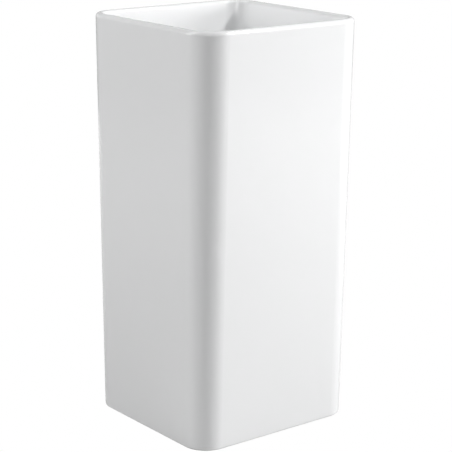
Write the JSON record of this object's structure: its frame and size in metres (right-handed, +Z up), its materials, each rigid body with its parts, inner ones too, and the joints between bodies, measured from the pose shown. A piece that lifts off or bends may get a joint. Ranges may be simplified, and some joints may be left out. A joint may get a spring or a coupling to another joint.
{
  "type": "pedestal sink",
  "caption": "Freestanding one-piece ceramic washbasin on a tall tapered square column, with a click-clack waste, a bottle trap and floor brackets inside.",
  "frame": {"origin": "middle of the base on the floor, which is the bottom centre of the bounding box", "axes": "+Z up, -Y the front, +Y the back, which stands towards the wall, +X to the right seen from the front"},
  "size_m": [0.41, 0.4096, 0.85],
  "materials": {
    "white_glaze": "high-gloss vitreous china glaze",
    "chrome": "polished chrome plate on brass",
    "brass": "machined bare brass",
    "black_rubber": "matt moulded EPDM rubber",
    "spring_steel": "drawn stainless spring wire",
    "zinc_steel": "bright zinc-plated steel",
    "white_pp": "semi-gloss moulded polypropylene",
    "nylon": "natural nylon, satin"
  },
  "bodies": {
    "basin": {"basin_body": "white_glaze", "waste_body": "chrome", "waste_gasket": "black_rubber", "click_sleeve": "brass", "click_spring": "spring_steel", "cone_washer": "black_rubber", "slip_washer": "nylon", "backnut": "brass", "inlet_nut": "white_pp", "inlet_seal": "black_rubber", "inlet_tube": "white_pp", "trap_nut": "white_pp", "trap_seal": "black_rubber", "trap_body": "white_pp", "outlet_nut": "white_pp", "outlet_seal": "black_rubber", "waste_arm": "white_pp", "floor_brackets": "zinc_steel", "fixing_pads": "black_rubber", "fixing_bushes": "nylon", "fixing_washers": "zinc_steel", "fixing_bolts": "zinc_steel", "fixing_nuts": "zinc_steel"},
    "plug": {"plug_cap": "chrome", "plug_seal": "black_rubber", "plug_stem": "brass"},
    "cup_ring": {"cup_seal": "black_rubber"},
    "trap_cup": {"trap_cup": "white_pp"}
  },
  "joints": [
    {"name": "plug_lift", "type": "slide", "parent": "basin", "child": "plug", "axis": [0, 0, 1], "range_m": [0, 0.008], "deforming": ["click_spring"]},
    {"name": "cup_drop", "type": "slide", "parent": "basin", "child": "cup_ring", "axis": [0, 0, -1], "range_m": [0, 0.0162]},
    {"name": "cup_turn", "type": "hinge", "parent": "cup_ring", "child": "trap_cup", "pos_m": [0, 0, 0.512], "axis": [0, 0, -1], "range_deg": [0, 1440]}
  ],
  "couplings": [
    {"joint": "cup_drop", "follows": "cup_turn", "m_per_rad": 0.00063662}
  ]
}
